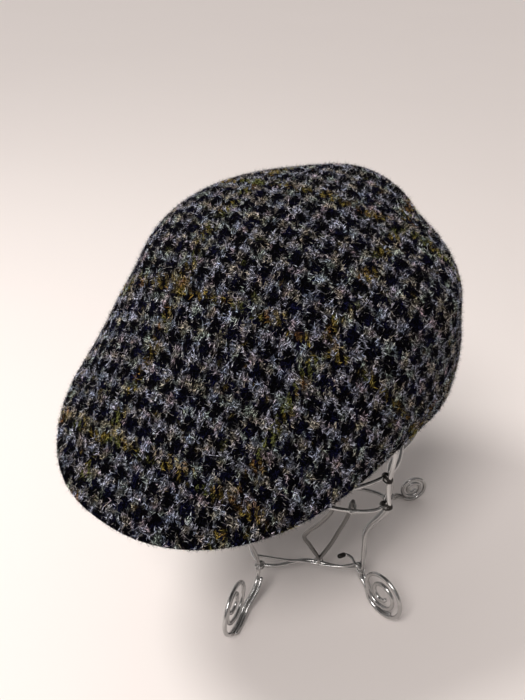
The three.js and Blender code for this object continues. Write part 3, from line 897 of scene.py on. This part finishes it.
# Nap
def nap_tree():
    """A tree that covers a patch of cloth with strands and hairs."""
    tree = bpy.data.node_groups.new("wool_fibres", "GeometryNodeTree")
    tree.interface.new_socket("Geometry", in_out="INPUT", socket_type="NodeSocketGeometry")
    for name, value in NAP_SIZES.items():
        tree.interface.new_socket(name, in_out="INPUT", socket_type="NodeSocketFloat").default_value = value
    tree.interface.new_socket("Seed", in_out="INPUT", socket_type="NodeSocketInt")
    tree.interface.new_socket("Wool", in_out="INPUT", socket_type="NodeSocketMaterial")
    tree.interface.new_socket("Geometry", in_out="OUTPUT", socket_type="NodeSocketGeometry")
    n = Nodes(tree)
    start, end = n.new("NodeGroupInput"), n.new("NodeGroupOutput")
    given = start.outputs

    def chance(low, high, offset):
        node = n.new("FunctionNodeRandomValue", data_type="FLOAT")
        n.give(node.inputs[2], low)
        n.give(node.inputs[3], high)
        n.give(node.inputs["Seed"], n.math("ADD", given["Seed"], float(offset)))
        return node.outputs[1]

    def fibres(kind, lean_range, spread, offset):
        spots = n.new("GeometryNodeDistributePointsOnFaces")
        n.give(spots.inputs["Mesh"], given["Geometry"])
        n.give(spots.inputs["Density"], given[kind + " Density"])
        n.give(spots.inputs["Seed"], n.math("ADD", given["Seed"], float(offset)))
        fibre = n.new("GeometryNodeMeshCone", fill_type="NGON")
        fibre.inputs["Vertices"].default_value = FIBRE_SIDES
        fibre.inputs["Radius Top"].default_value = 0.0
        n.give(fibre.inputs["Radius Bottom"], n.math("MULTIPLY", given[kind + " Width"], 0.5))
        n.give(fibre.inputs["Depth"], given[kind + " Length"])
        # Each lies along the warp or the weft, either way, and leans off the cloth
        grain = n.new("GeometryNodeInputNamedAttribute", data_type="FLOAT_VECTOR")
        grain.inputs["Name"].default_value = "grain"
        aligned = n.new("FunctionNodeAlignRotationToVector", axis="Y", pivot_axis="Z")
        n.give(aligned.inputs["Rotation"], spots.outputs["Rotation"])
        n.give(aligned.inputs["Vector"], grain.outputs["Attribute"])
        quarter = n.math("GREATER_THAN", chance(0.0, 1.0, offset + 2), WARP_SHARE)
        half = n.math("GREATER_THAN", chance(0.0, 1.0, offset + 3), 0.5)
        spin = n.math("MULTIPLY_ADD", quarter, math.pi / 2, chance(-spread, spread, offset + 4))
        lean = n.new("ShaderNodeCombineXYZ")
        n.give(lean.inputs[0], chance(*lean_range, offset + 1))
        n.give(lean.inputs[2], n.math("MULTIPLY_ADD", half, math.pi, spin))
        turned = n.new("FunctionNodeEulerToRotation")
        n.give(turned.inputs[0], lean.outputs[0])
        facing = n.new("FunctionNodeRotateRotation", rotation_space="LOCAL")
        n.give(facing.inputs[0], aligned.outputs[0])
        n.give(facing.inputs[1], turned.outputs[0])
        size = n.new("ShaderNodeCombineXYZ")
        n.give(size.inputs[0], 1.0)
        n.give(size.inputs[1], 1.0)
        n.give(size.inputs[2], chance(*LENGTH_RANGE, offset + 5))
        copies = n.new("GeometryNodeInstanceOnPoints")
        n.give(copies.inputs["Points"], spots.outputs["Points"])
        n.give(copies.inputs["Instance"], fibre.outputs["Mesh"])
        n.give(copies.inputs["Rotation"], facing.outputs[0])
        n.give(copies.inputs["Scale"], size.outputs[0])
        shade = n.new("GeometryNodeStoreNamedAttribute", data_type="FLOAT", domain="INSTANCE")
        n.give(shade.inputs["Geometry"], copies.outputs[0])
        shade.inputs["Name"].default_value = "shade"
        n.give(shade.inputs["Value"], chance(0.0, 1.0, offset + 6))
        return shade.outputs[0]

    both = n.new("GeometryNodeJoinGeometry")
    n.give(both.inputs[0], fibres("Strand", STRAND_LEAN, STRAND_SPREAD, 0))
    n.give(both.inputs[0], fibres("Hair", HAIR_LEAN, HAIR_SPREAD, HAIR_SEED))
    real = n.new("GeometryNodeRealizeInstances")
    n.give(real.inputs[0], both.outputs[0])
    dyed = n.new("GeometryNodeSetMaterial")
    n.give(dyed.inputs["Geometry"], real.outputs[0])
    n.give(dyed.inputs["Material"], given["Wool"])
    n.give(end.inputs[0], dyed.outputs[0])
    return tree


def set_inputs(modifier, values):
    sockets = {i.name: i.identifier for i in modifier.node_group.interface.items_tree if i.in_out == "INPUT"}
    for name, value in values.items():
        modifier[sockets[name]] = value


def made_real(carrier, name):
    """The carrier's evaluated mesh as a plain piece; the carrier goes."""
    evaluated = carrier.evaluated_get(bpy.context.evaluated_depsgraph_get())
    mesh = bpy.data.meshes.new_from_object(evaluated)
    mesh.name = name
    piece = bpy.data.objects.new(name, mesh)
    bpy.context.scene.collection.objects.link(piece)
    carrier.modifiers.clear()
    old = carrier.data
    bpy.data.objects.remove(carrier)
    bpy.data.meshes.remove(old)
    return piece


def own_cells(piece):
    """Gives every fibre a small cell of its own in the map for its colours."""
    fibre, part = np.divmod(corner_points(piece.data), FIBRE_SIDES + 1)
    side = math.ceil(math.sqrt(fibre.max() + 1))
    places = (np.stack([fibre % side, fibre // side], -1) + FIBRE_CELL[part]) / side
    piece.data.uv_layers.new(name="OFBake").uv.foreach_set("vector", places.astype(np.float32).ravel())


def nap_ground(name, points, flat):
    """A patch of the cap's outside that carries nap, with the way of the warp kept at each point."""
    out = unit(np.cross(*np.gradient(points, axis=(1, 0))))
    points = points - out * groove(points)[..., None]
    flat_u, flat_v = np.gradient(flat, axis=(0, 1))
    point_u, point_v = np.gradient(points, axis=(0, 1))
    turn = flat_u[..., 0] * flat_v[..., 1] - flat_v[..., 0] * flat_u[..., 1]
    turn = np.where(np.abs(turn) < 1e-6, 1e-6, turn)[..., None]
    grain = unit((point_v * flat_u[..., :1] - point_u * flat_v[..., :1]) / turn)
    rows, columns, _ = points.shape
    faces = grid_faces(rows, columns, False)
    piece = piece_from(name, on_stand(points.reshape(-1, 3)), faces, nap_wool, flat.reshape(-1, 2))
    ways = piece.data.attributes.new("grain", "FLOAT_VECTOR", "POINT")
    ways.data.foreach_set("vector", (grain.reshape(-1, 3) @ CAP_TURN.T).astype(np.float32).ravel())
    return piece


def patch_turns(first, last):
    """Turns from first to last, close together where the seam is steep."""
    share = np.linspace(0, 1, NAP_COLUMNS)
    if first == SEAM_START:
        share = share**2
    elif last == 360 - SEAM_START:
        share = 1 - (1 - share) ** 2
    return first + (last - first) * share


def top_ground(name, first, last):
    """Ground for nap on the top panel between two turns, with its lower edge rounded under."""
    turns = patch_turns(first, last)
    seam = seam_at(turns)
    share = np.broadcast_to(row_shares(NAP_ROWS) * NAP_TOP, (NAP_ROWS + 1, NAP_COLUMNS))
    k = seam + (1 - seam) * share
    turn = np.broadcast_to(turns, k.shape)
    points, flat = outside(k, turn), flat_top.at(share, turn)
    out, up = directions(k[0], turns)
    reach = np.where(seam > 0, SEAM_FOLD, CLOTH / 2)[:, None]
    low, low_flat = [], []
    for step in range(FOLD_STEPS, 0, -1):
        a = math.pi / 2 * step / FOLD_STEPS
        low.append(points[0] - (up * math.sin(a) + out * (1 - math.cos(a))) * reach)
        low_flat.append(flat[0] - unit(flat[1] - flat[0]) * CLOTH / 2 * a)
    return nap_ground(name, np.stack([*low, *points]), np.stack([*low_flat, *flat]))


def nape_ground(name):
    """Ground for nap on the back panel."""
    turns = back_turns(NAPE_COLUMNS)
    k = back_heights(turns, NAPE_ROWS)
    return nap_ground(name, outside(k, turns[None]), back_flat(k, turns))


wool_fibres = nap_tree()
for patch, (name, span) in enumerate(NAP_PATCHES.items()):
    carrier = top_ground(name + "_ground", *span) if span else nape_ground(name + "_ground")
    modifier = carrier.modifiers.new("wool", "NODES")
    modifier.node_group = wool_fibres
    set_inputs(modifier, NAP_SIZES | {"Seed": patch * PATCH_SEEDS, "Wool": nap_wool})
    nap = made_real(carrier, name)
    own_cells(nap)
    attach(nap, "root")


# Stand wires
def stand_point(r, turn, z):
    a = math.radians(turn)
    return np.array([STAND_X + r * math.cos(a), STAND_Y + r * math.sin(a), z]) + TO_ORIGIN


def curve_through(points, per_span):
    """A smooth line through points, with even bends where they lie close together."""
    p = np.asarray(points)
    p = np.vstack([2 * p[0] - p[1], p, 2 * p[-1] - p[-2]])
    line = []
    for a, b, c, d in zip(p[:-3], p[1:-2], p[2:-1], p[3:]):
        t0, t1, t2 = (max(np.linalg.norm(q - r) ** 0.5, 1e-4) for q, r in ((b, a), (c, b), (d, c)))
        m1 = ((b - a) / t0 - (c - a) / (t0 + t1) + (c - b) / t1) * t1
        m2 = ((c - b) / t1 - (d - b) / (t1 + t2) + (d - c) / t2) * t1
        for f in np.arange(per_span) / per_span:
            start, end = (2 * f**3 - 3 * f**2 + 1) * b, (3 * f**2 - 2 * f**3) * c
            line.append(start + (f**3 - 2 * f**2 + f) * m1 + end + (f**3 - f**2) * m2)
    line.append(p[-2])
    return np.array(line)


def tube(line, radius, sides, closed=False):
    """Points and faces of a round wire along a line, with domed ends."""
    line = np.asarray(line)
    ahead = unit(np.roll(line, -1, 0) - np.roll(line, 1, 0)) if closed else unit(np.gradient(line, axis=0))
    side = np.cross(ahead[0], (0, 0, 1.0))
    if np.linalg.norm(side) < 0.1:
        side = np.cross(ahead[0], (1.0, 0, 0))
    across = [unit(side)]
    for a in ahead[1:]:
        across.append(unit(across[-1] - a * (across[-1] @ a)))
    across = np.array(across)
    third = np.cross(ahead, across)
    sizes = [(i, 0.0, 1.0) for i in range(len(line))]
    if not closed:
        domes = [(math.sin(a), math.cos(a)) for a in DOME_ANGLES]
        sizes = [(0, -s, c) for s, c in domes[::-1]] + sizes + [(len(line) - 1, s, c) for s, c in domes]
    a = np.arange(sides) * 2 * math.pi / sides
    rings = []
    for i, on, wide in sizes:
        middle = line[i] + ahead[i] * on * radius
        spokes = np.cos(a)[:, None] * across[i] + np.sin(a)[:, None] * third[i]
        rings.append(middle + radius * wide * spokes)
    faces = [tuple(f) for f in grid_faces(len(rings), sides, True)]
    last = (len(rings) - 1) * sides
    if closed:
        faces += [(last + j, last + (j + 1) % sides, (j + 1) % sides, j) for j in range(sides)]
    else:
        faces += [tuple(range(sides))[::-1], tuple(range(last, last + sides))]
    return np.concatenate(rings), faces


def foot_directions(turn, lean, twist):
    """The way a foot faces, and the way to its side."""
    facing = math.radians(turn + lean + twist)
    out = np.array([math.cos(facing), math.sin(facing), 0])
    aside = np.array([-math.sin(facing), math.cos(facing), 0])
    return out, aside


def leg_line(turn, foot, lean, size, twist, spread, knee, above, below):
    """A leg from the inner end of its scroll over the knee and the upright to the end of its rib."""
    out, aside = foot_directions(turn, lean, twist)
    share = np.linspace(1, 0, SCROLL_POINTS + 1)
    winding = SCROLL_TURNS[0] + (SCROLL_TURNS[-1] - SCROLL_TURNS[0]) * share
    reach = size * np.interp(winding, SCROLL_TURNS, SCROLL_SIZES)
    up = reach * np.sin(np.radians(winding))
    middle = stand_point(foot, turn + lean, WIRE / 2 - up.min())
    points = middle + np.outer(reach * np.cos(np.radians(winding)), out)
    points += np.outer(spread * share, aside) + np.outer(up, (0, 0, 1))
    bends = []
    for r, z, at_knee, over_knee, under_knee, leaning in KNEE_BENDS:
        offset = knee * at_knee + above * over_knee + below * under_knee
        bends.append(stand_point(r + offset, turn + lean * leaning, z))
    bends += [stand_point(r, turn, z) for r, z in UPRIGHT_BENDS]
    scroll = curve_through(points, SCROLL_STEPS)
    return np.vstack([scroll[:-1], curve_through([points[-1], *bends], BEND_STEPS)])


def ring_line(z, r, knees, lag, lift, bows):
    """A ring that starts at the back, with each side bowed in between two legs."""
    points = []
    for i in range(RING_POINTS + 1):
        along = RING_START + RING_CUT + (len(LEGS) - 2 * RING_CUT) * i / RING_POINTS
        side, share = int(along) % len(LEGS), along % 1
        here, there = LEGS[side], LEGS[(side + 1) % len(LEGS)]
        last = there[0] + (360 if side + 1 == len(LEGS) else 0)
        corner = r + knees * (here[6] + (there[6] - here[6]) * share)
        turn = here[0] + (last - here[0]) * share + lag
        up = z + lift * max(0, 1 - abs(side + share - 1))
        bow = bows[side] * math.sin(math.pi * share) ** BOW_POWER
        points.append(stand_point(corner - bow, turn, up))
    return curve_through(points, RING_STEPS)


def brace_line():
    side = (LEGS[0][0] + LEGS[1][0]) / 2
    return curve_through([stand_point(r, side + turn, z) for turn, r, z in BRACE_BENDS], BRACE_STEPS)


def wire_piece(name, line, node):
    points, faces = tube(line, WIRE / 2, WIRE_SIDES)
    # The brace gets the wire darkened as painted shade, for the shade under the cap; the other wires get the
    # plain wire
    piece = piece_from(name, points, faces, shaded_wire if node == "brace" else bright_wire)
    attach(piece, "root")
    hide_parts(node)


lines = {name: ring_line(*sizes) for name, sizes in RINGS.items()}
lines |= {f"leg_{i + 1}": leg_line(*leg) for i, leg in enumerate(LEGS)}
lines["brace"] = brace_line()
for name, line in lines.items():
    wire_piece(name + "_wire", line, name)


# Bindings and small wires of the stand
def crossing(one, other, low, high):
    """The nearest places of two wires between two heights, and which way each wire runs there."""
    a, b = lines[one], lines[other]
    ways_a, ways_b = unit(np.gradient(a, axis=0)), unit(np.gradient(b, axis=0))
    apart = np.linalg.norm(a[:, None] - b[None], axis=2)
    apart[(a[:, 2] < low) | (a[:, 2] > high)] = np.inf
    i, j = np.unravel_index(np.argmin(apart), apart.shape)
    return a[i], b[j], ways_a[i], ways_b[j]


def lashing(at, other, way, other_way, loops):
    """Loops of thin wire, crossed, round the place where two wires meet."""
    across = unit(at - other)
    half = np.linalg.norm(at - other) / 2 + WIRE / 2 + LASH / 2
    a = np.linspace(0, 2 * math.pi, LOOP_POINTS, endpoint=False)
    for sign in (1, -1):
        slant = unit(way + sign * other_way)
        slant = unit(slant - across * (slant @ across))
        aside = np.cross(across, slant)
        wide = np.outer(np.sin(a) * (WIRE * LOOP_HALF + LASH / 2), slant)
        for i in range(loops):
            middle = (at + other) / 2 + aside * (i - (loops - 1) / 2) * LASH
            yield middle + np.outer(np.cos(a) * (half + LOOP_GROWTH * i), across) + wide


def joined_tubes(name, paths, thick, sides, closed, material):
    points, faces, count = [], [], 0
    for path in paths:
        p, f = tube(path, thick / 2, sides, closed)
        points.append(p)
        faces += [tuple(i + count for i in face) for face in f]
        count += len(p)
    piece = piece_from(name, np.concatenate(points), faces, material)
    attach(piece, "root")


def foot_splint(i):
    """A wire that lies beside a leg where it comes up from its scroll."""
    turn, _, lean, _, twist = LEGS[i][:5]
    _, aside = foot_directions(turn, lean, twist)
    return lines[f"leg_{i + 1}"][slice(*SPLINT_SPAN)] + aside * ((WIRE + SPLINT_WIRE) / 2 + SIDE_GAP)


def ring_strand():
    """A wire that lies on the front of the lower ring and swings to its outside halfway."""
    ring = lines["lower_ring"][slice(*STRAND_SPAN, STRAND_STEP)]
    swing = np.radians(90 - STRAND_SWING * np.sin(np.linspace(0, math.pi, len(ring))))[:, None]
    out = unit((ring - stand_point(0, 0, 0)) * (1, 1, 0))
    reach = (WIRE + HOOK_WIRE) / 2 + SIDE_GAP
    strand = ring + reach * (np.cos(swing) * out + np.sin(swing) * (0, 0, 1))
    return curve_through([stand_point(*STRAND_START), *strand], STRAND_STEPS)


shaded_loops, bright_loops = [], []
for i in range(len(LEGS)):
    leg = f"leg_{i + 1}"
    for ring in ("upper_ring", "top_ring"):
        z = RINGS[ring][0]
        shaded_loops += lashing(*crossing(leg, ring, z - RING_REACH, z + RING_REACH), RING_LOOPS)
    bright_loops += lashing(*crossing(leg, "lower_ring", *KNEE_HEIGHTS), KNEE_LOOPS)
for ring, heights in BRACE_HEIGHTS.items():
    bright_loops += lashing(*crossing("brace", ring, *heights), BRACE_LOOPS)
# Loops at the upper and top rings get the wire darkened as painted shade, as dark knots under the cap; those
# at the knees and the brace get the plain wire
joined_tubes("ring_lashings", shaded_loops, LASH, LASH_SIDES, True, deep_shade_wire)
joined_tubes("knee_lashings", bright_loops, LASH, LASH_SIDES, True, bright_wire)
splints = [foot_splint(i) for i in range(len(LEGS))]
joined_tubes("foot_splints", splints, SPLINT_WIRE, WIRE_SIDES, False, bright_wire)
hook = curve_through([stand_point(*p) for p in HOOK], HOOK_STEPS)
joined_tubes("hook_wire", [hook, ring_strand()], HOOK_WIRE, HOOK_SIDES, False, bright_wire)
# The hook's tip gets the wire darkened as painted shade, as a dark end
joined_tubes("hook_tip", [hook[-TIP_POINTS:]], TIP_WIRE, HOOK_SIDES, False, deep_shade_wire)


# Floor, light and camera
def floor_material():
    material, n, shader = material_base("pale_floor")
    place = n.new("ShaderNodeTexCoord").outputs["Object"]
    n.give(shader.inputs["Base Color"], n.mix(n.noise(place, FLOOR_CLOUD), *FLOOR_TONES))
    shader.inputs["Roughness"].default_value = FLOOR_ROUGH
    return material


floor_corners = [(-FLOOR, -FLOOR, 0), (FLOOR, -FLOOR, 0), (FLOOR, FLOOR, 0), (-FLOOR, FLOOR, 0)]
floor_mesh = bpy.data.meshes.new("floor")
floor_mesh.from_pydata(floor_corners, [], [(0, 1, 2, 3)])
floor_mesh.materials.append(floor_material())
floor = bpy.data.objects.new("floor", floor_mesh)
bpy.context.scene.collection.objects.link(floor)


def lamp(name):
    kind, at, towards, power, colour = LAMPS[name]
    data = bpy.data.lights.new(name, kind)
    data.energy = power
    data.color = colour
    light = bpy.data.objects.new(name, data)
    light.location = at
    light.rotation_euler = (Vector(towards) - Vector(at)).to_track_quat("-Z", "Y").to_euler()
    bpy.context.scene.collection.objects.link(light)
    return data


key, fill, side = (lamp(name) for name in LAMPS)
key.angle, fill.angle = KEY_ANGLE, FILL_ANGLE
side.shape, side.size = "DISK", SIDE_SIZE
world = bpy.data.worlds.new("soft_room")
world.use_nodes = True
room = world.node_tree.nodes["Background"]
room.inputs[0].default_value = ROOM_TONE
room.inputs[1].default_value = ROOM_POWER
scene = bpy.context.scene
scene.world = world
scene.view_settings.view_transform = "Standard"

camera_data = bpy.data.cameras.new("camera")
camera_data.lens = SENSOR * FOCAL / FRAME_HEIGHT
camera_data.sensor_width = SENSOR
camera_data.clip_start = NEAR
camera = bpy.data.objects.new("camera", camera_data)
camera.location = CAMERA_AT
camera.rotation_euler = (CAMERA_TILT, 0, CAMERA_TURN)
scene.collection.objects.link(camera)
scene.camera = camera
